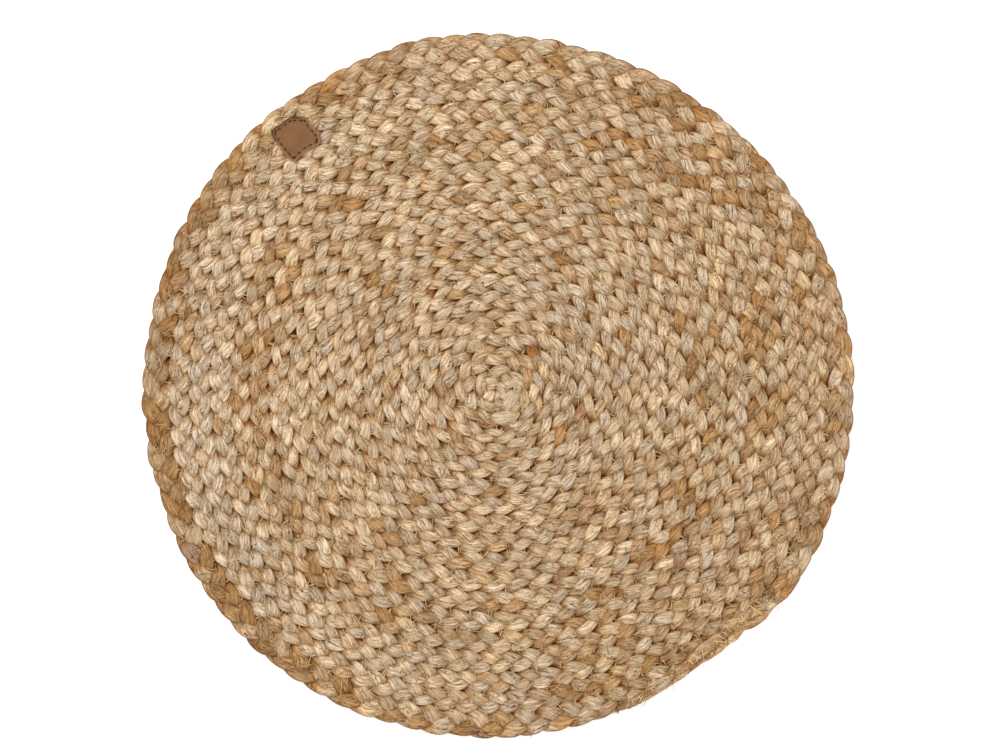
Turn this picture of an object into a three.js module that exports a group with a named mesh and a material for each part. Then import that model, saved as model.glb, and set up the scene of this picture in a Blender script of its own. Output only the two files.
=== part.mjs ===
// A round placemat: one flat plait of jute, wound flat into a spiral and sewn turn to turn,
// with a small square leather patch sewn on near the rim.
// Millimetres, +Z up. The mat lies on the plane z = 0, with the origin under the middle of its outline.
import * as THREE from "three";

// The spiral. Its seam starts at the middle and runs outwards clockwise, seen from above.
const SPIRAL_CENTRE = { x: -2.93, y: -3.59 };
const FIRST_AZIMUTH_DEG = -36;
const INNER_PITCH = 9.0;
const PITCH_GAIN_PER_TURN = 0.125;
const SEAM_TURNS = 18.08;
const TAPER_START_TURN = 17.97;
const STEPS_PER_TURN = 44;

// The first turns lie a little to one side of the rest.
const START_DRIFT = { x: 5.0, y: -2.5, fadeTurns: 2.5 };

// Where the outline swells or draws in. Each row fades out towards the middle.
const OUTLINE_SWELLS = [
  { azimuthDeg: 18, swell: 1.3, widthDeg: 16 },
  { azimuthDeg: 101, swell: 3.3, widthDeg: 16 },
  { azimuthDeg: 130, swell: 2.0, widthDeg: 12 },
  { azimuthDeg: 150, swell: 0.9, widthDeg: 9 },
  { azimuthDeg: 228, swell: 1.8, widthDeg: 24 },
  { azimuthDeg: 290, swell: 1.2, widthDeg: 22 },
  { azimuthDeg: 332, swell: -0.8, widthDeg: 10 },
];

// The section of one turn, from the seam on its inner side to the seam on its outer side.
const TOP_SECTION = [
  { across: 0, height: 4.6 },
  { across: 0.25, height: 7.0 },
  { across: 0.5, height: 6.2 },
  { across: 0.75, height: 7.0 },
];
const UNDERSIDE_SECTION = [
  { across: 0, height: 1.0 },
  { across: 0.18, height: 0 },
  { across: 0.82, height: 0 },
];
const RIM_HEIGHT = 3.5;
const START_SEAM_HEIGHT = 6.2;
const START_SEAM_TURNS = 0.8;

// The leather patch lies just clear of the ribs' crests.
const PATCH_CENTRE = { x: -108.5, y: 131.4 };
const PATCH_SIDE = 17;
const PATCH_ANGLE_DEG = 40;
const PATCH_CORNER_RADIUS = 2;
const PATCH_THICKNESS = 1.4;
const PATCH_BEVEL = 0.4;
const SEAT_GAP = 0.3;

const radians = THREE.MathUtils.degToRad;
const crestHeight = Math.max(...TOP_SECTION.map((point) => point.height));
const lastStep = Math.round(SEAM_TURNS * STEPS_PER_TURN);
const radiusAt = (turn) => INNER_PITCH * turn + (PITCH_GAIN_PER_TURN * turn * turn) / 2;
const rimRadius = radiusAt(SEAM_TURNS + 1);

const jute = new THREE.MeshStandardMaterial({ color: 0xc2a078, roughness: 0.92, metalness: 0 });
const leather = new THREE.MeshStandardMaterial({ color: 0x8d6647, roughness: 0.62, metalness: 0 });

// How far the outline stands out at an azimuth, at full size.
function swellAt(azimuthDeg) {
  return OUTLINE_SWELLS.reduce((sum, row) => {
    const away = THREE.MathUtils.euclideanModulo(azimuthDeg - row.azimuthDeg + 180, 360) - 180;
    return sum + row.swell * Math.exp(-((away / row.widthDeg) ** 2));
  }, 0);
}

// The point at an azimuth where the seam has made so many turns.
function seamPoint(turn, azimuthDeg, height) {
  const plain = radiusAt(turn);
  const radius = plain + swellAt(azimuthDeg) * (plain / rimRadius) ** 3;
  const drift = Math.exp(-turn / START_DRIFT.fadeTurns);
  const azimuth = radians(azimuthDeg);
  return [
    SPIRAL_CENTRE.x + START_DRIFT.x * drift + radius * Math.cos(azimuth),
    SPIRAL_CENTRE.y + START_DRIFT.y * drift + radius * Math.sin(azimuth),
    height,
  ];
}

// The share of its full width and thickness that the plait has at a turn: less at its bound end.
function taperAt(turn) {
  return 1 - THREE.MathUtils.smoothstep(turn, TAPER_START_TURN, SEAM_TURNS);
}

// One skin of the mat: a strip along the spiral whose two long edges meet, turn on turn.
// The outermost turn ends in the rim, whose points both skins share.
function addSkin(mesh, section, facesUp) {
  const corners = [];
  const addFace = (...face) => {
    if (new Set(face).size === 3) mesh.faces.push(facesUp ? face : face.reverse());
  };
  for (let step = 0; step <= lastStep; step += 1) {
    const turn = step / STEPS_PER_TURN;
    const azimuthDeg = FIRST_AZIMUTH_DEG - 360 * turn;
    const full = taperAt(turn);
    corners.push(
      section.map(({ across, height }) => {
        if (step === lastStep) return mesh.rim[0];
        const begun = across === 0 ? THREE.MathUtils.smoothstep(turn, 0, START_SEAM_TURNS) : 1;
        const startHeight = facesUp ? START_SEAM_HEIGHT : 0;
        const formed = THREE.MathUtils.lerp(startHeight, height, begun);
        const tapered = THREE.MathUtils.lerp(RIM_HEIGHT, formed, full);
        mesh.points.push(seamPoint(turn + across * full, azimuthDeg, tapered));
        return mesh.points.length - 1;
      }),
    );
  }
  const outerSeam = (step) =>
    step + STEPS_PER_TURN <= lastStep
      ? corners[step + STEPS_PER_TURN][0]
      : mesh.rim[step + STEPS_PER_TURN - lastStep];
  const rows = corners.map((row, step) => [...row, outerSeam(step)]);
  for (let step = 0; step < lastStep; step += 1) {
    for (let place = 0; place < section.length; place += 1) {
      const inner = rows[step][place];
      const outer = rows[step][place + 1];
      const nextInner = rows[step + 1][place];
      const nextOuter = rows[step + 1][place + 1];
      addFace(inner, nextInner, nextOuter);
      addFace(inner, nextOuter, outer);
    }
  }
  // The middle, inside the seam's first turn.
  const centre = rows[0][0];
  for (let step = 1; step < STEPS_PER_TURN - 1; step += 1) {
    addFace(centre, rows[step + 1][0], rows[step][0]);
  }
  const lastOfTurn = rows[STEPS_PER_TURN - 1][0];
  for (let place = 0; place < section.length; place += 1) {
    addFace(lastOfTurn, rows[0][place], rows[0][place + 1]);
  }
}

// The rim's points, from the tip of the bound end inwards along the spiral's last turn.
function rimPoints() {
  const points = [];
  for (let step = lastStep - STEPS_PER_TURN; step <= lastStep; step += 1) {
    const turn = step / STEPS_PER_TURN;
    points.push(seamPoint(turn + taperAt(turn), FIRST_AZIMUTH_DEG - 360 * turn, RIM_HEIGHT));
  }
  return points;
}

function makeMat() {
  const points = rimPoints();
  const rim = points.map((_, place) => place);
  // The rim's two ends are one point, the tip of the bound end.
  rim[rim.length - 1] = rim[0];
  const mesh = { points, rim, faces: [] };
  addSkin(mesh, TOP_SECTION, true);
  addSkin(mesh, UNDERSIDE_SECTION, false);
  const geometry = new THREE.BufferGeometry();
  geometry.setAttribute("position", new THREE.Float32BufferAttribute(mesh.points.flat(), 3));
  geometry.setIndex(mesh.faces.flat());
  geometry.computeVertexNormals();
  const mat = new THREE.Mesh(geometry, jute);
  mat.name = "mat";
  return mat;
}

function makePatch() {
  const half = PATCH_SIDE / 2 - PATCH_BEVEL;
  const corner = PATCH_CORNER_RADIUS - PATCH_BEVEL;
  const outline = new THREE.Shape();
  for (let quarter = 0; quarter < 4; quarter += 1) {
    const start = (quarter * Math.PI) / 2;
    const middle = new THREE.Vector2(half - corner, half - corner).rotateAround(new THREE.Vector2(), start);
    outline.absarc(middle.x, middle.y, corner, start, start + Math.PI / 2, false);
  }
  const geometry = new THREE.ExtrudeGeometry(outline, {
    depth: PATCH_THICKNESS - 2 * PATCH_BEVEL,
    bevelThickness: PATCH_BEVEL,
    bevelSize: PATCH_BEVEL,
    bevelSegments: 2,
    curveSegments: 4,
  });
  const patch = new THREE.Mesh(geometry, leather);
  patch.name = "leather_patch";
  patch.position.set(PATCH_CENTRE.x, PATCH_CENTRE.y, crestHeight + SEAT_GAP + PATCH_BEVEL);
  patch.rotation.z = radians(PATCH_ANGLE_DEG);
  return patch;
}

const placemat = new THREE.Group();
placemat.add(makeMat(), makePatch());

export default placemat;
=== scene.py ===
"""The looks of a round jute placemat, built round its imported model.

A flat plait of three strands is wound into a spiral and sewn turn to turn, with a small leather patch
near the rim. Shapes are worked out in millimetres and turned into metres where a mesh is made.
"""

import math

import bpy
import numpy as np
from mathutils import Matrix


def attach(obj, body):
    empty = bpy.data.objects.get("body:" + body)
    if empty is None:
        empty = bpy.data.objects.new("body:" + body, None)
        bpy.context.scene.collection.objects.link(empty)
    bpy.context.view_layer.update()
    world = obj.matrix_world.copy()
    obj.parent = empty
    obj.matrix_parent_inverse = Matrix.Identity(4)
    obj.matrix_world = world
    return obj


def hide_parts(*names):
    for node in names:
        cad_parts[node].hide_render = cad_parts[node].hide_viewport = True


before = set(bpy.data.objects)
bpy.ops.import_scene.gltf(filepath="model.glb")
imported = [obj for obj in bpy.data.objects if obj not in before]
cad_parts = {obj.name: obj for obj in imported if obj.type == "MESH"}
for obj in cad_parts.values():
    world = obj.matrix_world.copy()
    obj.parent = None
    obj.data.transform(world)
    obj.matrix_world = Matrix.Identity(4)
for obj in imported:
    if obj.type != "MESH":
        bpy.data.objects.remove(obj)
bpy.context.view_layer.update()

MM = 0.001
TWO_PI = 2 * math.pi

# The spiral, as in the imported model. A turn is a turn of its seam, which runs outwards clockwise.
SPIRAL_CENTRE = (-2.93, -3.59)
FIRST_AZIMUTH_DEG = -36
INNER_PITCH = 9.0
PITCH_GAIN_PER_TURN = 0.125
SEAM_TURNS = 18.08
START_DRIFT = (5.0, -2.5)
DRIFT_FADE_TURNS = 2.5

# Where the outline swells or draws in: azimuth in degrees, swell in millimetres and width in degrees.
OUTLINE_SWELLS = [
    (18, 1.3, 16),
    (101, 3.3, 16),
    (130, 2.0, 12),
    (150, 0.9, 9),
    (228, 1.8, 24),
    (290, 1.2, 22),
    (332, -0.8, 10),
]

# How far the rows lie off the plain spiral, in millimetres: a shift in plan, and one away from the middle.
ROW_SHIFTS = {
    "turn": [0.8, 3.5, 6.5, 9.5, 12.0, 14.0, 16.0, 17.3, 18.0, 18.6],
    "x": [0.0, -0.8, -0.6, -0.1, 0.0, 0.0, 0.0, 0.0, 0.0, 0.0],
    "y": [0.0, 2.2, 1.1, 0.5, 0.0, 0.0, 0.0, 0.0, 0.0, 0.0],
    "out": [0.0, 0.2, -0.3, -0.8, -0.2, 0.0, -0.2, -0.9, -0.9, 0.1],
}
# How far the outermost row stands out beyond the rows above, by azimuth.
RIM_SHIFTS = {
    "azimuth": [0, 90, 150, 185, 225, 265, 285, 298, 360],
    "out": [0.1, 0.4, 0.8, 1.3, 1.5, 1.8, 1.1, 0.0, 0.1],
}
# A place where the rows draw in, as turn, its spread, azimuth and its spread, and how far they draw in.
DENT = (14.8, 2.0, 182, 18)
DENT_OUT = -1.3

# The plait. Its lozenges' pitch changes from turn to turn.
STRANDS = 3
PLAIT_START_TURN = -0.42
PLAIT_END_TURN = 18.092
LOZENGE_PITCH = {
    "turn": [0.0, 1.2, 2.6, 12.6, 13.6, 16.6, 17.1, 18.1],
    "pitch": [9.6, 11.2, 12.2, 12.4, 11.5, 11.3, 12.9, 13.2],
}
# The bound end, where the strands run side by side. Its edges are shares of the plait's width from the
# seam, its height and thickness are in millimetres, and formed is the share of the change.
TAIL = {
    "turn": [17.975, 18.0, 18.01, 18.02, 18.03, 18.04, 18.05, 18.07, 18.08, PLAIT_END_TURN],
    "formed": [0.0, 0.45, 0.85, 1.0, 1.0, 1.0, 1.0, 1.0, 1.0, 1.0],
    "inner": [0.0, -0.12, -0.35, -0.50, -0.52, -0.52, -0.48, -0.30, -0.20, -0.12],
    "outer": [1.0, 0.80, 0.74, 0.42, 0.38, 0.20, 0.12, 0.11, 0.12, 0.04],
    "height": [3.4, 3.8, 4.4, 5.2, 5.6, 6.0, 6.2, 6.1, 5.8, 5.6],
    "thickness": [4.6, 5.0, 5.2, 4.2, 3.6, 2.8, 2.4, 2.0, 1.8, 1.2],
}
# How much fuller than its third of the bound end a strand is, and the room it has to sway there.
TAIL_FULLNESS = 1.3
TAIL_SWAY_ROOM = 0.4
FINE_STEPS_PER_TURN = 1440
STEPS_PER_PERIOD = 24
SIDES = 12
SPIRAL_UV_ROWS = 19
MAT_MIDDLE_HEIGHT = 3.15
STRAND_REACH = 0.295
# The strand's width as shares of the plait's: at the edge, and what the middle and a lozenge add.
EDGE_WIDTH = 0.57
MIDDLE_WIDTH = 0.04
LOZENGE_WIDTH = 0.05
STRAND_THICKNESS = 3.6
STRAND_LIFT = 1.45
EDGE_RAISE = 0.5
# The strand's section is a squared ellipse. The smaller these two powers, the squarer it is.
SECTION_ACROSS_POWER = 0.42
SECTION_RAISED_POWER = 0.36
LUMP_SHARE = 0.06
# Below this height the table presses a strand flatter.
PRESSED_HEIGHT = 0.5
PRESSED_SHARE = 0.35
LOWEST = 0.02

# The fibres' coordinates: how they wind round a strand, and the waves a millimetre of each noise over them.
FIBRE_TWIST_LENGTH = 95.0
FIBRE_RADIUS = 2.4
STRAND_FIBRE_OFFSET = 1000
FINE_WAVES = (0.22, 2.2, 2.2)
BUNDLE_WAVES = (0.05, 0.85, 0.85)
STREAK_WAVES = (0.08, 1.9, 1.9)
SLIT_WAVES = (0.16, 1.2, 1.2)

# Colours, as sRGB shares, chosen to match undyed jute.
STRAW = (0.755, 0.652, 0.515)
TAN = (0.675, 0.54, 0.375)
AMBER = (0.615, 0.445, 0.255)
GREY_STRAW = (0.735, 0.65, 0.55)
PALE = (0.815, 0.75, 0.645)
# A painted highlight that pales the strands' tops.
PAINTED_HIGHLIGHT = (0.86, 0.82, 0.76)
TAIL_BROWN = (0.735, 0.565, 0.36)
FUSED = (0.685, 0.605, 0.5)
RUST = (0.535, 0.32, 0.09)
REDDISH = (0.56, 0.33, 0.24)
ASH = (0.78, 0.71, 0.62)
# Painted shade: a brown for crevices, slits, holes and fillers, and tints for the shaded parts of a strand.
PAINTED_SHADE_BROWN = (0.31, 0.17, 0.07)
PAINTED_CREVICE_SHADE_TINT = (0.47, 0.28, 0.11)
SHADE_TINT = (0.94, 0.84, 0.68)
SEWING = (0.86, 0.76, 0.58)
LEATHER = (0.505, 0.352, 0.22)
LEATHER_WORN = (0.53, 0.383, 0.252)
LEATHER_DARK = (0.31, 0.185, 0.09)
LEATHER_EDGE = (0.64, 0.45, 0.31)
LEATHER_STITCH = (0.2, 0.1, 0.045)

# The usual share of each colour, and how far it jumps from lozenge to lozenge.
USUAL_WARM = 0.34
WARM_JUMP = 0.36
USUAL_GREY = 0.18
GREY_JUMP = 0.27
BRIGHTNESS_JUMP = 0.09
BOUND_BROWN = 0.65

# How dark the painted shade on a strand gets: where it dives under the next, at its sides, deep in the
# plait, and at most.
DIVE_SHADE = 0.34
DIVE_START = 0.84
SIDE_SHADE = 1.05
SIDE_SHADE_POWER = 9
DEEP_SHADE = 0.95
MOST_SHADE = 0.95
# The heights between which the painted deep shade and the painted brown shade tint fade out, and the
# painted highlight on the tops begins.
DEEP_HEIGHTS = (3.9, 5.5)
SHADE_TINT_HEIGHTS = (4.7, 5.9)
PAINTED_HIGHLIGHT_HEIGHTS = (6.0, 6.8)
PAINTED_HIGHLIGHT_SHARE = 0.08
# Where the outermost row is open to the light: shares of its width, and heights of its underside.
OPEN_SIDE = (0.62, 0.92)
OPEN_UNDERSIDE = (0.8, 2.4)

# Stained or bleached places, and dark spots of painted shade over holes in the painted shade brown: x, y
# and reach in millimetres, colour, and how strong.
STAINS_AND_HOLE_SHADE = [
    (18.6, 19.0, 5.2, RUST, 0.92),
    (-30.9, -3.1, 2.8, RUST, 0.45),
    (-34.7, -3.6, 1.8, PAINTED_SHADE_BROWN, 0.75),
    (5.8, 15.2, 2.4, RUST, 0.5),
    (44.9, -14.9, 3.2, RUST, 0.8),
    (97.1, -96.6, 2.8, REDDISH, 0.75),
    (112.1, -93.4, 5.0, ASH, 0.75),
    (90.0, -143.4, 2.6, PAINTED_SHADE_BROWN, 0.45),
    (115.3, -62.8, 3.6, RUST, 0.6),
    (56.3, -109.5, 4.2, RUST, 0.5),
    (58.4, -169.6, 3.6, RUST, 0.55),
    (-39.9, -122.9, 4.2, RUST, 0.55),
    (153.0, -107.4, 6.5, AMBER, 0.8),
    (145.5, -117.6, 3.0, PALE, 0.8),
    (118.6, -132.1, 2.4, PAINTED_SHADE_BROWN, 0.55),
    (97.6, -147.7, 2.2, PAINTED_SHADE_BROWN, 0.55),
    (88.5, -160.6, 4.0, ASH, 0.6),
    (-162.5, 6.1, 4.5, ASH, 0.6),
    (45.0, 32.9, 4.5, PALE, 0.45),
    (69.7, 93.2, 5.0, PALE, 0.4),
]

# Stretches that are warmer, greyer or darker (the darkening is painted shade): turn, its spread, azimuth,
# its spread, and how far each goes.
TONE_ZONES = [
    (17.5, 0.9, 200, 400, 0.25, 0.0, 0.0),
    (17.5, 0.5, 185, 50, 0.65, -0.4, 0.17),
    (15.5, 1.4, 190, 55, -0.35, 0.65, 0.0),
    (12.9, 0.8, 185, 50, 0.50, -0.2, 0.0),
    (15.0, 3.0, 310, 32, 0.30, 0.0, 0.0),
    (14.0, 2.5, 25, 45, 0.30, 0.0, 0.0),
    (5.0, 3.0, 90, 400, -0.12, 0.20, 0.0),
]


def linear(srgb):
    """An sRGB colour as linear shares."""
    c = np.asarray(srgb, float)
    return np.where(c <= 0.04045, c / 12.92, ((c + 0.055) / 1.055) ** 2.4)


def mixed(first, second, share):
    return first * (1 - share) + second * share


def blend(tone, colour, share):
    """A tone with a share of a colour mixed in."""
    return mixed(tone, linear(colour), share)


def norms(vectors):
    return np.linalg.norm(vectors, axis=-1)


def smoothstep(x, low, high):
    t = np.clip((x - low) / (high - low), 0, 1)
    return t * t * (3 - 2 * t)


def below(z, low, high):
    """1 below low, 0 above high."""
    return smoothstep(-z, -high, -low)


def wave_noise(seed, at):
    """Smooth noise from -1 to 1 with a new value at each whole number of at."""
    first = int(np.floor(at.min())) - 1
    values = np.random.default_rng(seed).uniform(-1, 1, int(np.ceil(at.max())) - first + 3)
    place = at - first
    low = np.floor(place).astype(int)
    share = smoothstep(place - low, 0, 1)
    return mixed(values[low], values[low + 1], share)


def read(table, column, at, by="turn"):
    """A column of a table, read between its stations."""
    return np.interp(at, table[by], table[column])


def radius_at(turn):
    return INNER_PITCH * turn + PITCH_GAIN_PER_TURN * turn**2 / 2


RIM_RADIUS = radius_at(SEAM_TURNS + 1)


def azimuth_at(turn):
    return FIRST_AZIMUTH_DEG - 360 * turn


def degrees_from(azimuth, middle):
    return (azimuth - middle + 180) % 360 - 180


def nearness(turn, azimuth, zone):
    """1 at the middle of a zone, fading out with its spread."""
    middle_turn, turns, middle_azimuth, degrees = zone
    away = degrees_from(azimuth, middle_azimuth) / degrees
    return np.exp(-(away**2) - ((turn - middle_turn) / turns) ** 2)


def swell_at(azimuth):
    return sum(
        swell * np.exp(-((degrees_from(azimuth, middle) / width) ** 2))
        for middle, swell, width in OUTLINE_SWELLS
    )


def last_seam(azimuth):
    """The turn of the seam along the inner side of the outermost row."""
    return math.floor(SEAM_TURNS) - 1 + (FIRST_AZIMUTH_DEG - azimuth) % 360 / 360


def seam_point(turn, azimuth):
    """The point in plan at an azimuth where the seam has made so many turns."""
    turn = np.maximum(turn, 0)
    plain = radius_at(turn)
    # The swells fade out with the cube of the radius.
    radius = plain + swell_at(azimuth) * (plain / RIM_RADIUS) ** 3
    radius = radius + read(ROW_SHIFTS, "out", turn)
    radius = radius + DENT_OUT * nearness(turn, azimuth, DENT)
    rim = read(RIM_SHIFTS, "out", azimuth % 360, by="azimuth")
    radius = radius + rim * np.clip(turn - last_seam(azimuth), 0, 1)
    drift = np.exp(-turn / DRIFT_FADE_TURNS)
    angle = np.radians(azimuth)
    x = SPIRAL_CENTRE[0] + START_DRIFT[0] * drift + read(ROW_SHIFTS, "x", turn)
    y = SPIRAL_CENTRE[1] + START_DRIFT[1] * drift + read(ROW_SHIFTS, "y", turn)
    return np.stack([x + radius * np.cos(angle), y + radius * np.sin(angle)], -1)


def open_share(points):
    """How far each point lies on the mat's outer side or its underside, where no painted crevice shade is
    put.
    """
    away = points[..., :2] - SPIRAL_CENTRE
    azimuth = np.degrees(np.arctan2(away[..., 1], away[..., 0]))
    seam = last_seam(azimuth)
    inner = norms(seam_point(seam, azimuth) - SPIRAL_CENTRE)
    outer = norms(seam_point(seam + 1, azimuth) - SPIRAL_CENTRE)
    share = (norms(away) - inner) / (outer - inner)
    return np.maximum(smoothstep(share, *OPEN_SIDE), 1 - smoothstep(points[..., 2], *OPEN_UNDERSIDE))


def unit(vectors):
    return vectors / np.maximum(norms(vectors)[..., None], 1e-9)


def running_sum(steps):
    return np.concatenate([[0], np.cumsum(steps)])


def quarter_turn(ahead):
    """Directions in plan, turned a quarter turn to the left."""
    return np.column_stack([-ahead[:, 1], ahead[:, 0]])


def with_last(vectors, values):
    """Vectors with one more number at their end, such as the height after x and y."""
    return np.concatenate([vectors, values[..., None]], -1)


def new_object(name, data):
    ob = bpy.data.objects.new(name, data)
    bpy.context.scene.collection.objects.link(ob)
    return ob


def mesh_object(name, points, face_sets, material, uvs):
    """A smooth mesh object from points in millimetres and arrays of faces, each with its own number of
    corners. The uvs follow the faces' corners."""
    sets = [np.asarray(faces, np.int32) for faces in face_sets]
    starts = []
    total = 0
    for faces in sets:
        starts.append(total + np.arange(len(faces)) * faces.shape[1])
        total += faces.size
    mesh = bpy.data.meshes.new(name)
    mesh.vertices.add(len(points))
    mesh.vertices.foreach_set("co", (points * MM).astype(np.float32).ravel())
    mesh.loops.add(total)
    mesh.loops.foreach_set("vertex_index", np.concatenate([faces.ravel() for faces in sets]))
    mesh.polygons.add(sum(len(faces) for faces in sets))
    mesh.polygons.foreach_set("loop_start", np.concatenate(starts).astype(np.int32))
    mesh.update(calc_edges=True)
    layer = mesh.uv_layers.new(name="OFBake")
    layer.data.foreach_set("uv", uvs.astype(np.float32).ravel())
    mesh.polygons.foreach_set("use_smooth", np.ones(len(mesh.polygons), bool))
    mesh.validate()
    mesh.materials.append(material)
    return new_object(name, mesh)


def add_attribute(ob, name, kind, field, values):
    layer = ob.data.attributes.new(name, kind, "POINT")
    layer.data.foreach_set(field, values.astype(np.float32).ravel())


def tube_grid(tubes, rings, sides):
    """The numbers of the tube, ring and side of each side face."""
    return np.meshgrid(np.arange(tubes), np.arange(rings - 1), np.arange(sides), indexing="ij")


def tube_faces(tubes, rings, sides):
    """The side faces and the end faces of many closed tubes, numbered tube by tube and ring by ring."""
    t, i, j = tube_grid(tubes, rings, sides)
    following = (j + 1) % sides
    base = (t * rings + i) * sides
    walls = np.stack([base + j, base + following, base + sides + following, base + sides + j], -1)
    first = np.arange(tubes)[:, None] * rings * sides
    ends = np.arange(sides)[None, :]
    near = first + ends[:, ::-1]
    far = first + (rings - 1) * sides + ends
    return walls.reshape(-1, 4), np.concatenate([near, far])


def tube_batch(name, rings, material, tone, fibre=None, uv_rows=None):
    """Many closed tubes as one object. rings is (tubes, rings, sides, 3), and tone has one colour for each
    tube, ring or point."""
    tubes, ring_count, sides, _ = rings.shape
    walls, ends = tube_faces(tubes, ring_count, sides)
    uvs = tube_uvs(tubes, ring_count, sides, uv_rows)
    ob = mesh_object(name, rings.reshape(-1, 3), [walls, ends], material, uvs)
    if tone.ndim == 2:
        tone = np.repeat(tone[:, None], ring_count, axis=1)
    if tone.ndim == 3:
        tone = np.repeat(tone[:, :, None], sides, axis=2)
    opaque = with_last(tone, np.ones(tone.shape[:-1]))
    add_attribute(ob, "tone", "FLOAT_COLOR", "color", opaque)
    if fibre is not None:
        add_attribute(ob, "fibre", "FLOAT_VECTOR", "vector", fibre)
    return ob


def tube_uvs(tubes, rings, sides, uv_rows):
    """A cell of the map for each tube, or for each row of one long tube."""
    t, i, j = tube_grid(tubes, rings, sides)
    if uv_rows:
        per_row = math.ceil((rings - 1) / uv_rows)
        column, row, columns, rows = np.zeros_like(i), i // per_row, 1, uv_rows
        along = (i - row * per_row) / per_row
        step = 1 / per_row
    else:
        columns = max(1, round(math.sqrt(tubes / 4)))
        rows = math.ceil(tubes / columns)
        column, row = t % columns, t // columns
        along = i / (rings - 1)
        step = 1 / (rings - 1)
    margin = 0.06
    round_low = j / sides
    round_high = (j + 1) / sides
    corners = []
    for a, b in [(0, round_low), (0, round_high), (step, round_high), (step, round_low)]:
        u = (column + margin + (1 - 2 * margin) * (along + a)) / columns
        v = (row + margin + (1 - 2 * margin) * b) / rows
        corners.append(np.stack([u, v], -1))
    walls = np.stack(corners, -2).reshape(-1, 2)
    place = np.arange(tubes)
    ends = []
    for at in (0.02, 0.98):
        u = (place % columns + at) / columns
        v = (place // columns + 0.5) / rows if not uv_rows else np.full(tubes, 0.5 / rows)
        spread = np.linspace(0, 0.3 / rows, sides)
        end = np.stack([np.repeat(u[:, None], sides, 1), v[:, None] + spread[None, :]], -1)
        ends.append(end.reshape(-1, 2))
    return np.concatenate([walls, *ends])


class Nodes:
    """A short way to write a material's node tree."""

    def __init__(self, name):
        self.material = bpy.data.materials.new(name)
        self.material.use_nodes = True
        self.tree = self.material.node_tree
        self.shader = self.tree.nodes["Principled BSDF"]

    def add(self, kind, settings=None, **inputs):
        node = self.tree.nodes.new(kind)
        for key, value in (settings or {}).items():
            setattr(node, key, value)
        for key, value in inputs.items():
            self.plug(node.inputs[key.replace("_", " ")], value)
        return node

    def plug(self, socket, value):
        if isinstance(value, bpy.types.NodeSocket):
            self.tree.links.new(value, socket)
        else:
            socket.default_value = value

    def set(self, name, value):
        """Sets one of the shader's own sockets, or links something to it."""
        self.plug(self.shader.inputs[name], value)

    def attribute(self, name):
        return self.add("ShaderNodeAttribute", {"attribute_name": name})

    def math(self, operation, first, second=0.0):
        node = self.add("ShaderNodeMath", {"operation": operation})
        self.plug(node.inputs[0], first)
        self.plug(node.inputs[1], second)
        return node.outputs[0]

    def mix(self, factor, first, second, blend="MIX"):
        node = self.add("ShaderNodeMix", {"data_type": "RGBA", "blend_type": blend})
        self.plug(node.inputs[0], factor)
        self.plug(node.inputs[6], first)
        self.plug(node.inputs[7], second)
        return node.outputs[2]

    def scaled(self, value, times, plus):
        return self.math("ADD", self.math("MULTIPLY", value, times), plus)

    def tinted(self, tone, shade):
        """A colour multiplied by a shade."""
        grey = self.add("ShaderNodeCombineColor", Red=shade, Green=shade, Blue=shade)
        return self.mix(1.0, tone, grey.outputs["Color"], "MULTIPLY")

    def ramp(self, value, low, high):
        """value from low to high, as 0 to 1."""
        smooth = {"interpolation_type": "SMOOTHSTEP"}
        node = self.add("ShaderNodeMapRange", smooth, Value=value, From_Min=low, From_Max=high)
        return node.outputs["Result"]

    def noise(self, vector, scale, detail, roughness=0.5):
        """Noise over a vector that is first stretched by scale, a triple."""
        stretched = self.add("ShaderNodeMapping", Vector=vector, Scale=scale).outputs["Vector"]
        inputs = {"Vector": stretched, "Scale": 1.0, "Detail": detail, "Roughness": roughness}
        return self.add("ShaderNodeTexNoise", **inputs).outputs["Fac"]

    def bump(self, height, strength, distance):
        node = self.add("ShaderNodeBump", Strength=strength, Distance=distance * MM, Height=height)
        self.set("Normal", node.outputs["Normal"])


def jute_material():
    """Combed jute: long fibres along each strand, dark slits of painted shade between them, paler and
    warmer streaks.
    """
    n = Nodes("jute")
    fibre = n.attribute("fibre").outputs["Vector"]
    tone = n.attribute("tone").outputs["Color"]
    fine = n.noise(fibre, FINE_WAVES, 2.0, 0.65)
    bundles = n.noise(fibre, BUNDLE_WAVES, 1.0)
    streaks = n.noise(fibre, STREAK_WAVES, 1.0)
    lines = n.noise(fibre, SLIT_WAVES, 1.0)
    # A slit runs where the lines' noise passes its middle, and is coloured with painted shade.
    off_line = n.math("ABSOLUTE", n.math("SUBTRACT", lines, 0.5))
    slit = n.math("SUBTRACT", 1.0, n.ramp(off_line, 0.004, 0.028))
    slit = n.math("MULTIPLY", slit, n.ramp(bundles, 0.40, 0.58))
    fine_shade = n.scaled(n.ramp(fine, 0.34, 0.66), 0.68, 0.765)
    streak_shade = n.scaled(n.ramp(streaks, 0.34, 0.66), 0.28, 0.86)
    streaked = n.tinted(tone, n.math("MULTIPLY", fine_shade, streak_shade))
    warm_share = n.math("MULTIPLY", n.ramp(bundles, 0.52, 0.70), 0.35)
    warm = n.mix(warm_share, streaked, (*linear(TAN), 1))
    slit_shade_share = n.math("MULTIPLY", slit, 0.90)
    n.set("Base Color", n.mix(slit_shade_share, warm, (*linear(PAINTED_SHADE_BROWN), 1)))
    n.set("Roughness", n.scaled(fine, 0.25, 0.50))
    height = n.math("ADD", n.math("MULTIPLY", fine, 0.30), n.math("MULTIPLY", streaks, 0.8))
    height = n.math("SUBTRACT", height, n.math("MULTIPLY", slit, 0.5))
    n.bump(height, 0.85, 0.5)
    n.set("Specular IOR Level", 0.06)
    return n.material


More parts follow.
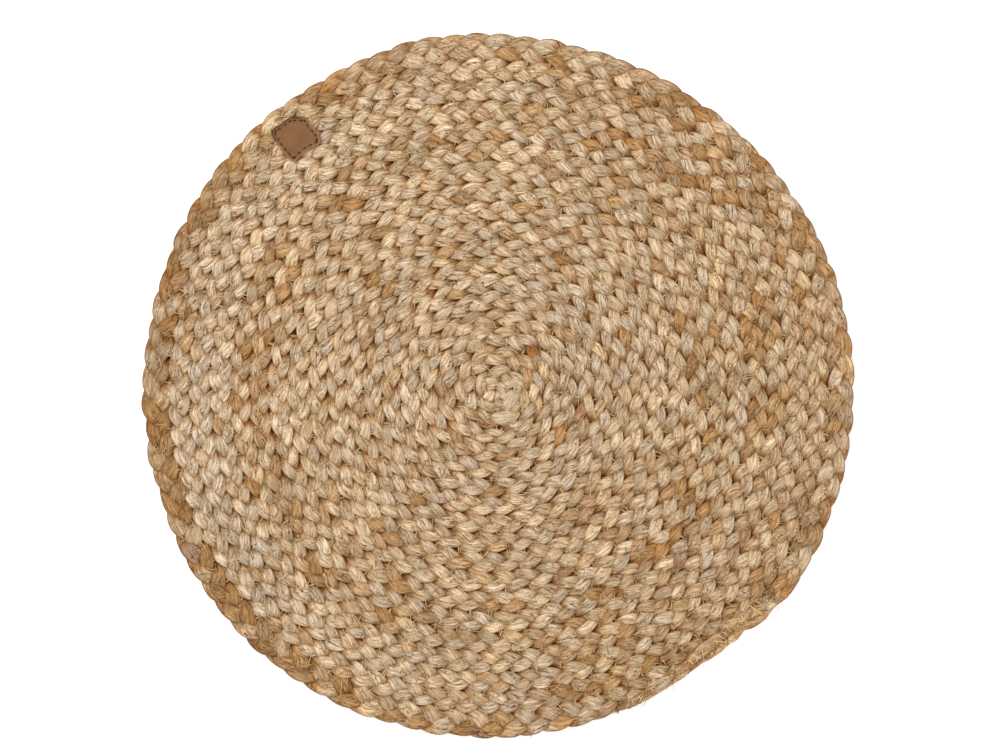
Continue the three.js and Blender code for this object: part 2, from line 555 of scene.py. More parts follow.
def thread_material(name, roughness):
    """A thread or hair: its colour comes with each one, mottled a little along it."""
    n = Nodes(name)
    tone = n.attribute("tone").outputs["Color"]
    position = n.add("ShaderNodeTexCoord").outputs["Object"]
    mottle = n.ramp(n.noise(position, (900, 900, 900), 1.0), 0.3, 0.7)
    n.set("Base Color", n.tinted(tone, n.scaled(mottle, 0.3, 0.82)))
    n.set("Roughness", roughness)
    n.set("Specular IOR Level", 0.08)
    return n.material


def stained_and_hole_shaded(tone, places):
    """Colours with the stains, and painted shade over holes, mixed in, at places whose last axis starts
    with x and y.
    """
    for x, y, reach, colour, share in STAINS_AND_HOLE_SHADE:
        away = np.hypot(places[..., 0] - x, places[..., 1] - y)[..., None]
        tone = blend(tone, colour, share * np.exp(-((away / reach) ** 4)))
    return tone


def plait_stations():
    """The turn, phase and length along the plait of each station, evenly spaced in phase."""
    turn = np.arange(PLAIT_START_TURN, PLAIT_END_TURN, 1 / FINE_STEPS_PER_TURN)
    middle = seam_point(turn + 0.5, azimuth_at(turn))
    step = norms(np.diff(middle, axis=0))
    length = running_sum(step)
    pitch = read(LOZENGE_PITCH, "pitch", turn)
    phase = running_sum(step * TWO_PI / (STRANDS * pitch[:-1]))
    stations = np.arange(0, phase[-1], TWO_PI / STEPS_PER_PERIOD)
    return np.interp(stations, phase, turn), stations, np.interp(stations, phase, length)


TURN, PHASE, LENGTH = plait_stations()
FORMED = read(TAIL, "formed", TURN)
# How many lozenges of one face lie before each station.
LOZENGE_PLACE = PHASE / math.pi * STRANDS

# How each measure of a strand wavers along it: what it adds to the seed, its waves, and how far it goes.
WAVERS = {
    "phase": (1, LOZENGE_PLACE * 0.5, 0.20),
    "lateral": (2, LOZENGE_PLACE * 0.55, 0.024),
    "height": (3, LOZENGE_PLACE * 0.6, 0.16),
    "width": (4, LOZENGE_PLACE * 0.6, 0.17),
    "thickness": (5, LOZENGE_PLACE * 0.6, 0.08),
    "bound_sway": (6, LENGTH / 6, 0.50),
    "bound_height": (7, LENGTH / 5, 0.42),
    "warm": (21, LENGTH / 95, 0.35),
    "grey": (22, LENGTH / 120, 0.30),
    "brightness": (23, LENGTH / 40, 0.06),
}


class Strand:
    """One strand: its middle line, its frame and its section at each station."""

    def __init__(self, number):
        self.number = number
        self.seed = 100 * (number + 1)
        self.phase = -PHASE + TWO_PI * number / STRANDS + self.waver("phase")
        inner, outer = read(TAIL, "inner", TURN), read(TAIL, "outer", TURN)
        lateral = STRAND_REACH * np.sin(self.phase) + self.waver("lateral")
        lane = number - 1 + self.waver("bound_sway")
        beside = (inner + outer) / 2 + lane * (outer - inner) / (STRANDS + TAIL_SWAY_ROOM)
        across = mixed(0.5 + lateral, beside, FORMED)
        over = EDGE_RAISE * np.sin(self.phase) ** 2 - np.sin(2 * self.phase)
        z = MAT_MIDDLE_HEIGHT + STRAND_LIFT * over * (1 - FORMED) + self.waver("height")
        high = read(TAIL, "height", TURN) + self.waver("bound_height")
        azimuth = azimuth_at(TURN)
        xy = seam_point(TURN + across, azimuth)
        self.line = with_last(xy, mixed(z, high, FORMED))
        pitch = norms(seam_point(TURN + 1, azimuth) - seam_point(TURN, azimuth))
        share = EDGE_WIDTH + MIDDLE_WIDTH * np.cos(self.phase) ** 2
        share = share + LOZENGE_WIDTH * np.abs(np.sin(2 * self.phase))
        wide = pitch * share * (1 + self.waver("width"))
        bound_wide = TAIL_FULLNESS * ((outer - inner) * pitch / STRANDS)
        self.wide = mixed(wide, bound_wide, FORMED)
        thick = STRAND_THICKNESS * (1 + self.waver("thickness"))
        self.thick = mixed(thick, read(TAIL, "thickness", TURN), FORMED)
        self.along = unit(np.gradient(self.line, axis=0))
        self.side = unit(np.cross(self.along, [0, 0, 1]))
        self.up = np.cross(self.side, self.along)
        self.length = running_sum(norms(np.diff(self.line, axis=0)))
        self.tone = self.colours()

    def waver(self, measure):
        seed, waves, amount = WAVERS[measure]
        return amount * wave_noise(self.seed + seed, waves)

    def colours(self):
        """Slow changes along the strand, a jump from lozenge to lozenge, and the zones, whose darkening is
        painted shade.
        """
        quarter = np.floor(self.phase / (math.pi / 2)).astype(int)
        quarter = quarter - quarter.min()
        random = np.random.default_rng(self.seed + 20)
        jump = random.normal(0, 1, (quarter.max() + 1, 3))[quarter]
        azimuth = azimuth_at(TURN) % 360
        warm = USUAL_WARM + self.waver("warm") + WARM_JUMP * jump[:, 0]
        grey = USUAL_GREY + self.waver("grey") + GREY_JUMP * jump[:, 1]
        painted_shade = np.zeros(len(TURN))
        for *zone, warmer, greyer, painted_darker in TONE_ZONES:
            near = nearness(TURN, azimuth, zone)
            warm = warm + warmer * near
            grey = grey + greyer * near
            painted_shade = painted_shade + painted_darker * near
        warm = np.clip(warm, 0, 1)[:, None]
        tone = blend(linear(STRAW), TAN, warm)
        tone = blend(tone, AMBER, np.clip(warm * 2 - 1.1, 0, 1))
        tone = blend(tone, GREY_STRAW, np.clip(grey, 0, 1)[:, None])
        tone = blend(tone, TAIL_BROWN, BOUND_BROWN * FORMED[:, None])
        tone = tone * (1 - painted_shade[:, None])
        tone = tone * (1 + BRIGHTNESS_JUMP * np.clip(jump[:, 2:3], -2, 2))
        tone = tone * (1 + self.waver("brightness")[:, None])
        return stained_and_hole_shaded(tone, self.line)

    def at(self, values, station):
        """Values at fractional stations."""
        low = np.clip(np.floor(station).astype(int), 0, len(TURN) - 2)
        share = (station - low).reshape(low.shape + (1,) * (values.ndim - 1))
        return mixed(values[low], values[low + 1], share)

    def surface(self, station, across, lift):
        """The point on the strand's upper side at a share of its half width, raised by lift."""
        across = np.clip(across, -0.98, 0.98)
        steep = np.abs(across) ** (2 / SECTION_ACROSS_POWER)
        rise = (1 - steep) ** (SECTION_RAISED_POWER / 2)
        measures = (self.line, self.side, self.up, self.wide, self.thick)
        middle, side, up, wide, thick = (self.at(values, station) for values in measures)
        outward = unit(side * (np.sign(across) * steep / wide)[..., None] + up * (rise / thick)[..., None])
        point = middle + side * (across * wide / 2)[..., None] + up * (rise * thick / 2)[..., None]
        return point + outward * lift[..., None]


def rounded_section():
    """The strand's section: an ellipse a little squared."""
    angle = np.arange(SIDES) * TWO_PI / SIDES
    across = np.sign(np.cos(angle)) * np.abs(np.cos(angle)) ** SECTION_ACROSS_POWER
    raised = np.sign(np.sin(angle)) * np.abs(np.sin(angle)) ** SECTION_RAISED_POWER
    return angle, across, raised


def make_strand(strand, material):
    """One strand of the plait as a closed tube of flattened section."""
    angle, across, raised = rounded_section()
    lumps = [wave_noise(strand.seed + 40 + j, LOZENGE_PLACE * 0.8) for j in range(SIDES)]
    lumps = np.stack(lumps, 1) * LUMP_SHARE
    wide = (strand.wide[:, None] / 2 * across * (1 + lumps))[..., None]
    thick = (strand.thick[:, None] / 2 * raised * (1 + 1.6 * lumps))[..., None]
    points = strand.line[:, None] + strand.side[:, None] * wide + strand.up[:, None] * thick
    z = points[..., 2]
    pressed = PRESSED_HEIGHT - (PRESSED_HEIGHT - z) * PRESSED_SHARE
    points[..., 2] = np.maximum(np.where(z < PRESSED_HEIGHT, pressed, z), LOWEST)
    turned = angle[None, :] + TWO_PI * strand.length[:, None] / FIBRE_TWIST_LENGTH
    along = np.broadcast_to(strand.length[:, None], turned.shape) + STRAND_FIBRE_OFFSET * strand.number
    fibre = np.stack([along, FIBRE_RADIUS * np.cos(turned), FIBRE_RADIUS * np.sin(turned)], -1)
    # Painted shade: fibres are darker and browner down the sides, where the strand dives under the next and
    # deep in the plait, and a brown tint of painted shade covers its lower parts.
    dive = smoothstep(np.abs(np.cos(2 * strand.phase)), DIVE_START, 1.0)[:, None] * DIVE_SHADE
    side = SIDE_SHADE * np.abs(across)[None, :] ** SIDE_SHADE_POWER
    closed = 1 - np.maximum(open_share(points), FORMED[:, None])
    deep = DEEP_SHADE * closed * below(z, *DEEP_HEIGHTS)
    painted_shade = np.clip(np.maximum(dive + side, deep), 0, MOST_SHADE)[..., None]
    tone = strand.tone[:, None] * (1 - painted_shade * (1 - np.array(PAINTED_CREVICE_SHADE_TINT)))
    tinted = (closed * below(z, *SHADE_TINT_HEIGHTS))[..., None]
    tone = tone * (1 - tinted * (1 - np.array(SHADE_TINT)))
    # A painted highlight pales the tops, but not on dark strands.
    pale = smoothstep(strand.tone[:, None, 1:2], 0.10, 0.25)
    tone = blend(tone, PAINTED_HIGHLIGHT, PAINTED_HIGHLIGHT_SHARE * smoothstep(z, *PAINTED_HIGHLIGHT_HEIGHTS)[..., None] * pale)
    name = f"plait_strand_{strand.number + 1}"
    return tube_batch(name, points[None], material, tone[None], fibre[None], SPIRAL_UV_ROWS)


def lozenge_stations(strand):
    """The stations where the middles of the strand's upper lozenges lie."""
    middle = np.floor((strand.phase.min() + math.pi) / math.pi) * math.pi - math.pi / 4
    middles = np.arange(middle, strand.phase.max(), math.pi)
    order = np.argsort(strand.phase)
    stations = np.interp(middles, strand.phase[order], np.arange(len(TURN))[order])
    keep = (np.interp(stations, np.arange(len(TURN)), TURN) < TAIL["turn"][0]) & (stations > 6)
    return stations[keep]


def make_bundles(strand, material, per_lozenge=6, rings=5):
    """Fibres that stand proud on each upper lozenge, tapering into it at both ends."""
    random = np.random.default_rng(strand.seed + 60)
    middles = np.repeat(lozenge_stations(strand), per_lozenge)
    count = len(middles)
    lane = np.tile(np.linspace(-0.78, 0.78, per_lozenge), count // per_lozenge)
    # Half a lozenge is an eighth of a period long, and a fibre may reach past it.
    reach = STEPS_PER_PERIOD / 8 * 1.25
    start = middles - reach * random.uniform(0.45, 1.0, count)
    end = middles + reach * random.uniform(0.45, 1.0, count)
    share = np.linspace(0, 1, rings)
    station = start[:, None] + (end - start)[:, None] * share
    swell = np.sin(math.pi * (0.05 + 0.90 * share)) ** 0.7
    centre = lane + random.normal(0, 0.09, count)
    drift = random.normal(0, 0.14, count)
    across = (centre[:, None] + drift[:, None] * (share - 0.5)) * (0.62 + 0.38 * swell)
    half = random.uniform(0.06, 0.15, (count, 1)) * swell
    high = random.uniform(0.06, 0.20, (count, 1)) * swell - 0.06
    sunk = np.full_like(high, -0.20)
    corners = [(-1, sunk), (0, high), (1, sunk)]
    sections = [strand.surface(station, across + half * place, lift) for place, lift in corners]
    points = np.stack(sections, 2)
    tone = strand.at(strand.tone, middles)
    kind = random.uniform(0, 1, (count, 1))
    tone = blend(tone, PALE, np.where(kind < 0.35, random.uniform(0.02, 0.18, (count, 1)), 0))
    tone = blend(tone, AMBER, np.where(kind > 0.75, random.uniform(0.1, 0.5, (count, 1)), 0))
    tone = tone * random.uniform(0.78, 1.04, (count, 1))
    along = strand.at(strand.length, station)[..., None] + random.uniform(0, 500, (count, 1, 1))
    fibre = np.stack(np.broadcast_arrays(along, np.arange(3) * 0.8, lane[:, None, None] * 9), -1)
    return tube_batch(f"fibre_bundles_{strand.number + 1}", points, material, tone, fibre)


def thread_rings(paths, radii, sides=3):
    """Rings of round threads along paths (threads, points, 3), with radii (threads, points)."""
    along = unit(np.gradient(paths, axis=1))
    side = unit(np.cross(along, [0.13, 0.21, 0.97]))
    up = np.cross(side, along)
    angle = np.arange(sides) * TWO_PI / sides + math.pi / 2
    offset = side[:, :, None] * np.cos(angle)[:, None] + up[:, :, None] * np.sin(angle)[:, None]
    return paths[:, :, None] + offset * radii[:, :, None, None]


def bowed_paths(root, ahead, reach, share, bow, bulge):
    """Paths in plan that run from root along ahead and bow aside."""
    xy = root[:, None] + ahead[:, None] * (reach * share)[..., None]
    return xy + quarter_turn(ahead)[:, None] * (reach * bow * bulge)[..., None]


def bound_end_at(turn):
    """The edges of the bound end as shares of the plait's width, and the height of its top."""
    low, high = read(TAIL, "inner", turn), read(TAIL, "outer", turn)
    return low, high, read(TAIL, "height", turn) + read(TAIL, "thickness", turn) / 2


def turns_apart(spacing):
    """Turns at places evenly spaced along the plait."""
    return np.interp(np.arange(0, LENGTH[-1], spacing), LENGTH, TURN)


def long_fibres(count, spacing, apart, corners=4):
    """Fibre coordinates of one long tube: along it, and from corner to corner."""
    fibre = np.zeros((1, count, corners, 3))
    fibre[..., 0] = np.arange(count)[None, :, None] * spacing
    fibre[..., 1] = np.arange(corners) * apart
    return fibre


def make_seam_cord(material, spacing=6.5, height=2.3):
    """A dark filler that runs on inside the seam and fills it down to the table, its colour painted shade.
    """
    turn = turns_apart(spacing)
    turn = turn[turn > 0.3]
    random = np.random.default_rng(7)
    path = with_last(seam_point(turn, azimuth_at(turn)), np.full(len(turn), height))
    radii = 1.15 + 1.0 * smoothstep(turn, 17.90, 17.97)
    rings = thread_rings(path[None], radii[None], 4)
    bound = smoothstep(turn, 17.99, 18.02)[:, None]
    # Painted shade in the seam, turning to a darkened brown at the bound end.
    tone = mixed(linear(PAINTED_SHADE_BROWN) * 1.1, linear(TAIL_BROWN) * 0.7, bound)
    tone = tone[None] * random.uniform(0.8, 1.2, (1, len(turn), 1))
    fibre = long_fibres(len(turn), spacing, 1.0)
    return tube_batch("seam_cord", rings, material, tone, fibre, SPIRAL_UV_ROWS)


# The core's corners: place across the plait and height, and the same as shares of its bound end.
CORE_CORNERS = [
    (0.22, 3.1, 0.10, 0.45),
    (0.50, 4.3, 0.45, 0.97),
    (0.78, 3.1, 0.92, 0.84),
    (0.50, 2.2, 0.84, 0.02),
]
CORE_TIP = 0.3
CORE_TIP_TURNS = (18.06, 18.09)


def make_core(material, spacing=6.0):
    """A dark filler inside the plait where its strands pass one another, its colour painted shade, which
    also fills its bound end in a darker brown.
    """
    turn = turns_apart(spacing)
    inner, outer = read(TAIL, "inner", turn), read(TAIL, "outer", turn)
    tail = read(TAIL, "formed", turn)
    bound_top = read(TAIL, "height", turn)
    open_end = 1 - smoothstep(turn, *CORE_TIP_TURNS)
    rings = []
    for across, height, bound_across, bound_height in CORE_CORNERS:
        place = mixed(across, CORE_TIP + (bound_across - CORE_TIP) * open_end, tail)
        xy = seam_point(turn + inner + (outer - inner) * place, azimuth_at(turn))
        rings.append(with_last(xy, mixed(height, bound_height * bound_top, tail)))
    # Painted shade inside the plait; a darkened brown in the bound end.
    tone = mixed(linear(PAINTED_SHADE_BROWN) * 1.2, linear(TAIL_BROWN) * 0.8, tail[:, None])[None]
    fibre = long_fibres(len(turn), spacing, 2.0)
    return tube_batch("plait_core", np.stack(rings, 1)[None], material, tone, fibre, SPIRAL_UV_ROWS)


def make_stitches(material):
    """Sewing threads across the seam: a straight leg at each stitch, and at most of them a second one."""
    random = np.random.default_rng(11)
    places = np.arange(60, LENGTH[-1] - 20, 13.0)
    places = places + random.uniform(-2.5, 2.5, len(places))
    turn = np.interp(places, LENGTH, TURN)
    count = len(turn)
    azimuth = azimuth_at(turn)
    root = seam_point(turn, azimuth)
    outward = unit(seam_point(turn + 0.05, azimuth) - root)
    onward = quarter_turn(outward)
    tilt = random.normal(0.9, 1.0, (count, 1))
    share = np.linspace(0, 1, 5)
    ends = np.abs(2 * share - 1) ** 3
    legs = []
    # Each leg's first and last point, across and along the seam in millimetres, and its share of the tilt.
    for first, last, spread in [((-2.3, -0.5), (2.4, 0.5), 1.0), ((2.2, 0.5), (-1.5, 1.9), 0.8)]:
        over = (first[0] + (last[0] - first[0]) * share) * random.uniform(0.75, 1.15, (count, 1))
        slant = (first[1] + (last[1] - first[1]) * share) * tilt * spread
        slant = slant + random.normal(0, 0.25, (count, 1))
        xy = root[:, None] + outward[:, None] * over[..., None] + onward[:, None] * slant[..., None]
        z = 6.75 + 0.25 * (over / 2) ** 2 - 2.0 * ends + random.normal(0, 0.12, (count, 1))
        legs.append(with_last(xy, z))
    second = random.uniform(0, 1, count) < 0.6
    bound = tail_stitches(random)
    paths = np.concatenate([legs[0], legs[1][second], bound])
    radii = random.uniform(0.19, 0.30, (len(paths), 1)) * np.ones(len(share))
    radii[-len(bound):] *= 1.3
    tone = linear(SEWING) * random.uniform(0.70, 1.10, (len(paths), 1))
    tone[-len(bound):] *= 1.25
    return tube_batch("seam_stitches", thread_rings(paths, radii), material, tone)


def make_tail_matting(material, count=520):
    """Short fibres matted over the bound end, lying every way but mostly along it."""
    random = np.random.default_rng(13)
    turn = random.uniform(17.998, PLAIT_END_TURN, count)
    low, high, top = bound_end_at(turn)
    across = low + (high - low) * random.uniform(-0.12, 0.78, count)
    azimuth = azimuth_at(turn)
    root = seam_point(turn + across, azimuth)
    outward = unit(seam_point(turn + across + 0.05, azimuth) - root)
    turned = random.normal(0, 0.8, (count, 1))
    ahead = quarter_turn(outward) * np.cos(turned) + outward * np.sin(turned)
    share = np.linspace(-1, 1, 5)
    reach = random.uniform(1.2, 2.8, (count, 1))
    bow = random.normal(0, 0.25, (count, 1))
    xy = bowed_paths(root, ahead, reach, share, bow, 1 - share**2)
    edge = 1.3 * np.abs(2 * (across - low) / (high - low) - 1) ** 3
    z = (top - edge + random.uniform(-0.15, 0.25, count))[:, None] - 0.5 * np.abs(share) ** 3
    radii = random.uniform(0.12, 0.30, (count, 1)) * np.array([0.6, 1, 1, 1, 0.6])
    brown = random.uniform(0, 1, (count, 1)) < 0.4
    tone = np.where(brown, linear(AMBER), linear(TAIL_BROWN)) * random.uniform(0.60, 1.10, (count, 1))
    tone = stained_and_hole_shaded(tone, root)
    return tube_batch("tail_matting", thread_rings(with_last(xy, z), radii), material, tone)


def tail_stitches(random):
    """Stitches that hold the bound end down: over it, or zigzag along its inner edge."""
    turn = np.arange(18.004, PLAIT_END_TURN, 0.0031)
    turn = turn + random.uniform(-0.0010, 0.0010, len(turn))
    azimuth = azimuth_at(turn)
    low, high, top = bound_end_at(turn)
    share = np.linspace(0, 1, 5)
    inner = low + (high - low) * random.uniform(-0.15, 0.35, len(turn))
    outer = low + (high - low) * random.uniform(0.60, 0.98, len(turn))
    across = inner[:, None] + (outer - inner)[:, None] * share
    slant = random.normal(0, 0.9, (len(turn), 1)) * share
    xy = seam_point(turn[:, None] + across, azimuth[:, None] + slant)
    return with_last(xy, top[:, None] + 0.45 - 2.4 * np.abs(2 * share - 1) ** 3)


def make_loose_fibres(material, strands, count=5000):
    """Fine fibres that have worked loose and lie over the plait, more of them near its start."""
    random = np.random.default_rng(23)
    share = np.linspace(0, 1, 5)
    paths = []
    for strand in strands:
        some = count // len(strands)
        middles = lozenge_stations(strand)
        chosen = (random.uniform(0, 1, some) ** 1.4 * len(middles)).astype(int)
        station = middles[chosen] + random.uniform(-4, 4, some)
        start = strand.surface(station, random.uniform(-0.8, 0.8, some), np.full(some, 0.05))
        along = strand.at(strand.along, station)[:, :2]
        turned = random.normal(0, 0.7, some)
        ahead = along * np.cos(turned)[:, None] + quarter_turn(along) * np.sin(turned)[:, None]
        reach = random.uniform(3.0, 9.0, (some, 1))
        bow = random.normal(0, 0.12, (some, 1))
        xy = bowed_paths(start[:, :2], ahead, reach, share, bow, np.sin(math.pi * share))
        top = np.maximum(start[:, 2], 6.3)[:, None]
        z = start[:, 2:3] + (top + 0.5 - start[:, 2:3]) * np.sin(math.pi * (0.5 * share + 0.25 * share**2))
        z = z + random.uniform(0, 0.3, (some, 1)) * share
        paths.append(with_last(xy, z))
    paths = np.concatenate(paths)
    distance = norms(paths[..., :2] - SPIRAL_CENTRE)
    paths = paths[(distance < 188).all(1)]
    radii = random.uniform(0.08, 0.18, (len(paths), 1)) * np.array([1, 1, 1, 0.9, 0.5])
    brown = random.uniform(0, 1, (len(paths), 1)) < 0.3
    tone = np.where(brown, linear(AMBER), linear(SEWING)) * random.uniform(0.7, 1.3, (len(paths), 1))
    return tube_batch("loose_fibres", thread_rings(paths, radii), material, tone)


def make_rim_fuzz(material, count=260):
    """Short hairs that stand out round the rim."""
    random = np.random.default_rng(31)
    azimuth = random.uniform(0, 360, count)
    turn = (FIRST_AZIMUTH_DEG - azimuth) / 360 % 1 + math.floor(SEAM_TURNS) - 1
    turn = np.where(turn > SEAM_TURNS - 1.02, turn, turn + 1)
    outer = np.minimum(turn, SEAM_TURNS) + 1
    root = seam_point(outer - 0.12, azimuth)
    angle = np.radians(azimuth) + random.normal(0, 0.7, count)
    ahead = np.column_stack([np.cos(angle), np.sin(angle)])
    share = np.linspace(0, 1, 4)
    reach = random.uniform(1.5, 3.6, (count, 1))
    xy = root[:, None] + ahead[:, None] * (reach * share)[..., None]
    z = random.uniform(1.5, 4.5, (count, 1)) + random.normal(0, 0.6, (count, 1)) * share
    paths = with_last(xy, z)
    radii = random.uniform(0.05, 0.09, (count, 1)) * np.array([1, 1, 0.9, 0.5])
    tone = linear(STRAW) * random.uniform(0.9, 1.2, (count, 1))
    return tube_batch("rim_fuzz", thread_rings(paths, radii), material, tone)


# The plait's start, smooth lumps of fused fibre: middle, half sizes, turn in degrees, bottom and top.
START_LUMPS = [
    (6.6, -8.0, 6.2, 4.6, 60, 1.5, 7.6),
    (2.6, -17.5, 7.0, 4.4, 8, 2.5, 7.4),
    (5.0, 0.6, 7.0, 3.0, 14, 2.0, 7.0),
    (-0.5, -5.6, 3.6, 2.6, 60, 1.5, 6.2),
    (1.6, -11.5, 6.0, 4.2, 20, 1.0, 5.6),
]


def make_start_lumps(material, around=24, levels=9):
    """Flattened, lumpy forms where the plait begins."""
    angle = np.arange(around) * TWO_PI / around
    rise = np.linspace(-1, 1, levels)
    size = np.sqrt(np.clip(1 - np.abs(rise) ** 2.6, 0.02, 1))
    upper = smoothstep(rise, -0.1, 0.9)[:, None]
    rings, tones, fibres = [], [], []
    for number, (x, y, long, short, degrees, bottom, top) in enumerate(START_LUMPS):
        random = np.random.default_rng(50 + number)
        lumps = 1 + 0.10 * np.sin(3 * angle + random.uniform(0, 6))
        lumps = lumps + 0.07 * np.sin(5 * angle + random.uniform(0, 6))
        local_x = long * size[:, None] * (np.cos(angle) * lumps)[None, :]
        local_y = short * size[:, None] * (np.sin(angle) * lumps)[None, :]
        turned = math.radians(degrees)
        x = x + local_x * math.cos(turned) - local_y * math.sin(turned)
        y = y + local_x * math.sin(turned) + local_y * math.cos(turned)
        z = (top + bottom) / 2 + rise[:, None] * (top - bottom) / 2 + 0 * x
        rings.append(np.stack([x, y, z], -1))
        # The lumps darken towards their bottoms: painted shade.
        tones.append(mixed(linear(AMBER) * 0.6, linear(FUSED), upper))
        fibres.append(np.stack([local_x * 0.6, local_y * 0.25, z * 0.25], -1))
    return tube_batch("plait_start", np.array(rings), material, np.array(tones), np.array(fibres))


# The leather patch's outline, in millimetres from its middle, anticlockwise from its left corner.
PATCH_MIDDLE = (-108.5, 131.4)
PATCH_OUTLINE = [
    (-13.2, 3.6), (-11.6, 0.4), (-8.6, -4.4), (-4.8, -9.0), (-2.6, -11.0), (-0.9, -11.4), (0.9, -10.0),
    (5.1, -6.1), (9.9, -3.4), (12.4, -2.0), (13.0, 0.2), (11.9, 4.1), (8.3, 8.2), (5.9, 11.8), (3.6, 12.6),
    (-2.4, 12.5), (-5.4, 11.2), (-9.1, 8.2), (-12.3, 6.5),
]
PATCH_BOTTOM = 7.3
PATCH_TOP = 8.7
PATCH_EDGE = 0.5
PATCH_DOME = 0.25
PATCH_DOME_RADIUS = 13
PATCH_WAVE = 0.10
STITCH_INSET = 1.9
STITCH_SPACING = 3.5
# How deep and how wide the leather is pulled in: along the row of stitches, and at each stitch.
GROOVE = (0.16, 0.55)
PULL = (0.30, 0.85)


def patch_outline(count):
    """The patch's outline as points evenly spaced along a smooth closed curve, and its length."""
    corners = np.array(PATCH_OUTLINE)
    place = np.arange(0, len(corners), 0.05)
    low = np.floor(place).astype(int)
    t = (place - low)[:, None]
    before, first, second, after = (corners[(low + k) % len(corners)] for k in (-1, 0, 1, 2))
    curve = 0.5 * (
        2 * first
        + (second - before) * t
        + (2 * before - 5 * first + 4 * second - after) * t**2
        + (3 * first - before - 3 * second + after) * t**3
    )
    closed = np.vstack([curve, curve[:1]])
    length = running_sum(norms(np.diff(closed, axis=0)))
    at = np.arange(count) * length[-1] / count
    return np.column_stack([np.interp(at, length, axis) for axis in closed.T]), length[-1]


def patch_stitch_places():
    """Where each stitch lies on the patch, and which way it runs."""
    outline, perimeter = patch_outline(360)
    ahead = unit(np.roll(outline, -1, 0) - np.roll(outline, 1, 0))
    inward = quarter_turn(ahead)
    count = round(perimeter / STITCH_SPACING)
    chosen = (np.arange(count) * 360 / count + 5).astype(int)
    return outline[chosen] + inward[chosen] * STITCH_INSET, ahead[chosen]


def patch_height(points, inset):
    """The leather's top: domed a little, rounded over at its edge, pulled in at each stitch."""
    distance = np.hypot(points[:, 0], points[:, 1])
    from_edge = PATCH_EDGE - np.minimum(inset, PATCH_EDGE)
    rounded = PATCH_EDGE - np.sqrt(np.clip(PATCH_EDGE**2 - from_edge**2, 0, None))
    height = PATCH_TOP - PATCH_DOME - rounded + PATCH_DOME * (1 - (distance / PATCH_DOME_RADIUS) ** 2)
    depth, width = GROOVE
    height = height - depth * np.exp(-(((inset - STITCH_INSET) / width) ** 2))
    places, _ = patch_stitch_places()
    depth, width = PULL
    for place in places:
        away = np.hypot(points[:, 0] - place[0], points[:, 1] - place[1])
        height = height - depth * np.exp(-((away / width) ** 2))
    return height + PATCH_WAVE * np.sin(points[:, 0] * 0.45 + 1.0) * np.cos(points[:, 1] * 0.38)


def make_patch(material):
    """The leather patch as one closed mesh: rings from its middle to its edge, then down and under."""
    around = 120
    outline, _ = patch_outline(around)
    shares = np.concatenate([np.linspace(0.02, 0.80, 14), np.linspace(0.83, 0.985, 9), [0.993, 1.0]])
    points, rim = [], []
    for share in shares:
        ring = outline * share
        inset = norms(outline - ring) * 0.93
        points.append(with_last(ring, patch_height(ring, inset)))
        rim.append(inset)
    for share, raised in [(1.0, 0.35), (0.97, 0), (0.5, 0), (0.02, 0)]:
        points.append(with_last(outline * share, np.full(around, PATCH_BOTTOM + raised)))
        rim.append(np.zeros(around))
    place = np.array(points)
    points = place + np.array([*PATCH_MIDDLE, 0])
    inset = np.array(rim)
    edge = 1 - smoothstep(inset, 0.35, 1.15)
    upper_left = smoothstep(place[..., 1] - place[..., 0], 4, 12)[..., None]
    rim = blend(linear(LEATHER_EDGE), LEATHER_DARK, upper_left)
    tone = mixed(linear(LEATHER), rim, edge[..., None])
    side = (1 - edge) * (0.3 + 0.3 * np.tanh(place[..., 0] / 7))
    tone = blend(tone, LEATHER_WORN, side[..., None])
    groove = np.exp(-(((inset - STITCH_INSET) / 0.5) ** 2)) * 0.30
    tone = blend(tone, LEATHER_DARK, groove[..., None])
    return tube_batch("sewn_leather_patch", points[None], material, tone[None])


def make_patch_stitches(material):
    """Dark stitches sunk in the leather, each a short thread that dives in at both ends."""
    places, ahead = patch_stitch_places()
    random = np.random.default_rng(71)
    share = np.linspace(-1, 1, 6)
    slant = random.normal(0, 0.16, (len(places), 1))
    ahead = ahead + quarter_turn(ahead) * slant
    half = random.uniform(0.40, 0.80, len(places))
    xy = places[:, None] + ahead[:, None] * (half[:, None] * share)[..., None]
    z = PATCH_TOP - 0.30 - 0.45 * np.abs(share) ** 3
    paths = with_last(xy + PATCH_MIDDLE, np.broadcast_to(z, xy.shape[:2]))
    radii = np.full((len(places), 1), 0.30) * np.array([0.8, 1, 1, 1, 1, 0.8])
    tone = linear(LEATHER_STITCH) * random.uniform(0.8, 1.3, (len(places), 1))
    return tube_batch("patch_stitches", thread_rings(paths, radii, 6), material, tone)


def leather_material():
    """Smooth vegetable-tanned leather: fine pebbled grain, faint cloudy shading, soft sheen."""
    n = Nodes("patch_leather")
    tone = n.attribute("tone").outputs["Color"]
    position = n.add("ShaderNodeTexCoord").outputs["Object"]
    cloud = n.ramp(n.noise(position, (180, 180, 180), 3.0, 0.6), 0.3, 0.7)
    grain = n.add("ShaderNodeTexVoronoi", {"feature": "DISTANCE_TO_EDGE"}, Vector=position, Scale=2600.0)
    pores = n.ramp(grain.outputs["Distance"], 0.0, 0.25)
    shade = n.math("MULTIPLY", n.scaled(cloud, 0.24, 0.80), n.scaled(pores, 0.14, 0.90))
    n.set("Base Color", n.tinted(tone, shade))
    n.set("Roughness", n.scaled(cloud, 0.12, 0.50))
    n.bump(pores, 0.35, 0.12)
    n.set("Specular IOR Level", 0.10)
    return n.material


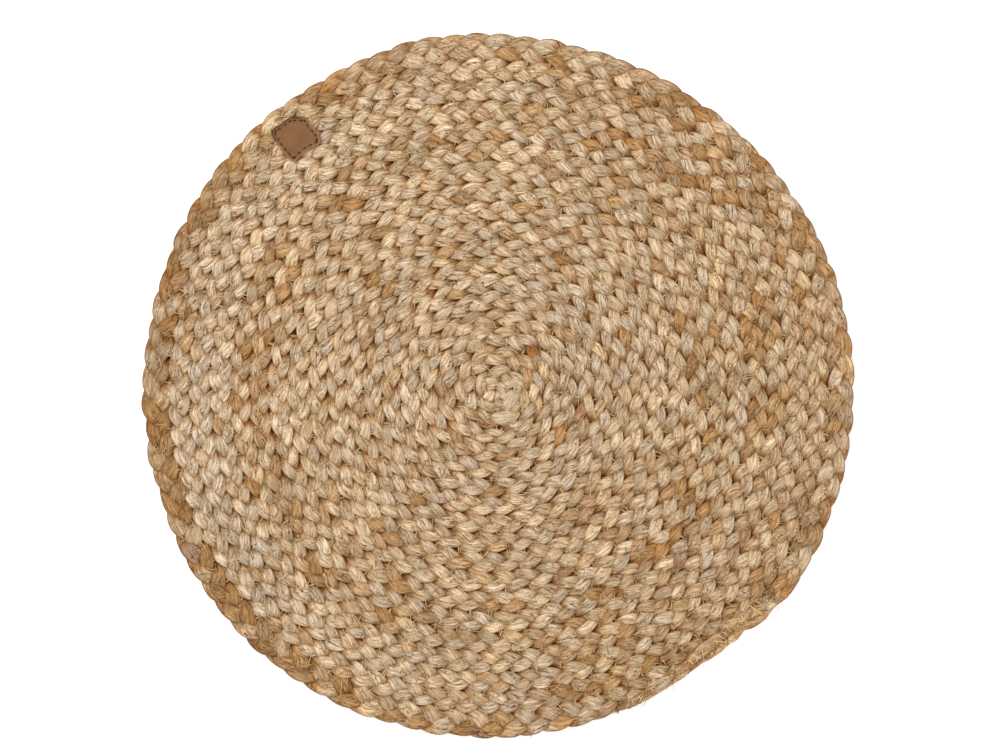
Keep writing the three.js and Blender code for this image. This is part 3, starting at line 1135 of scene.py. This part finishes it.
def make_camera():
    """Straight above, framing the mat as the photograph does: 1000 by 750 pixels at 0.5375 mm each."""
    pixel = 0.5375
    width_px, height_px = 1000, 750
    mat_centre_px = (498.5, 384.5)
    outline_shift = (0.07, 0.41)
    height = 1500.0
    data = bpy.data.cameras.new("camera")
    data.sensor_width = 36.0
    data.lens = data.sensor_width * (height - 6.0) / (width_px * pixel)
    data.clip_end = 10.0
    camera = new_object("camera", data)
    x = (width_px / 2 - mat_centre_px[0]) * pixel + outline_shift[0]
    y = (mat_centre_px[1] - height_px / 2) * pixel + outline_shift[1]
    camera.location = (x * MM, y * MM, height * MM)
    bpy.context.scene.camera = camera


def make_stage():
    """A pale floor, a soft light from the upper left, a weaker one opposite, and a bright world."""
    size = 6.0
    mesh = bpy.data.meshes.new("floor")
    corners = [(-size, -size, 0), (size, -size, 0), (size, size, 0), (-size, size, 0)]
    mesh.from_pydata(corners, [], [(0, 1, 2, 3)])
    n = Nodes("floor")
    n.set("Base Color", (0.95, 0.95, 0.95, 1))
    n.set("Roughness", 0.9)
    n.set("Emission Color", (1, 1, 1, 1))
    n.set("Emission Strength", 0.36)
    mesh.materials.append(n.material)
    floor = new_object("floor", mesh)
    for name, place, energy, width in [
        ("key", (-0.70, 0.80, 1.45), 16.0, 0.7),
        ("fill", (0.9, -0.7, 1.3), 4.0, 1.4),
    ]:
        data = bpy.data.lights.new(name, "AREA")
        data.energy = energy
        data.size = width
        light = new_object(name, data)
        light.location = place
        aim = -light.location
        light.rotation_euler = aim.to_track_quat("-Z", "Y").to_euler()
    world = bpy.data.worlds.new("world")
    world.use_nodes = True
    background = world.node_tree.nodes["Background"]
    background.inputs["Color"].default_value = (1, 1, 1, 1)
    background.inputs["Strength"].default_value = 0.83
    bpy.context.scene.world = world
    bpy.context.scene.view_settings.view_transform = "Standard"


make_camera()
make_stage()
jute = jute_material()
thread = thread_material("sewing_thread", 0.55)
strands = [Strand(number) for number in range(STRANDS)]
strand_pieces = [make_strand(strand, jute) for strand in strands]
bundle_pieces = [make_bundles(strand, jute) for strand in strands]
other_pieces = [
    make_seam_cord(jute),
    make_core(jute),
    make_stitches(thread),
    make_tail_matting(thread),
    make_loose_fibres(thread, strands),
    make_rim_fuzz(thread),
    make_start_lumps(jute),
]
for piece in strand_pieces + bundle_pieces + other_pieces:
    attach(piece, "root")
    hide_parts("mat")

leather = leather_material()
for piece in [make_patch(leather), make_patch_stitches(thread)]:
    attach(piece, "root")
    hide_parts("leather_patch")
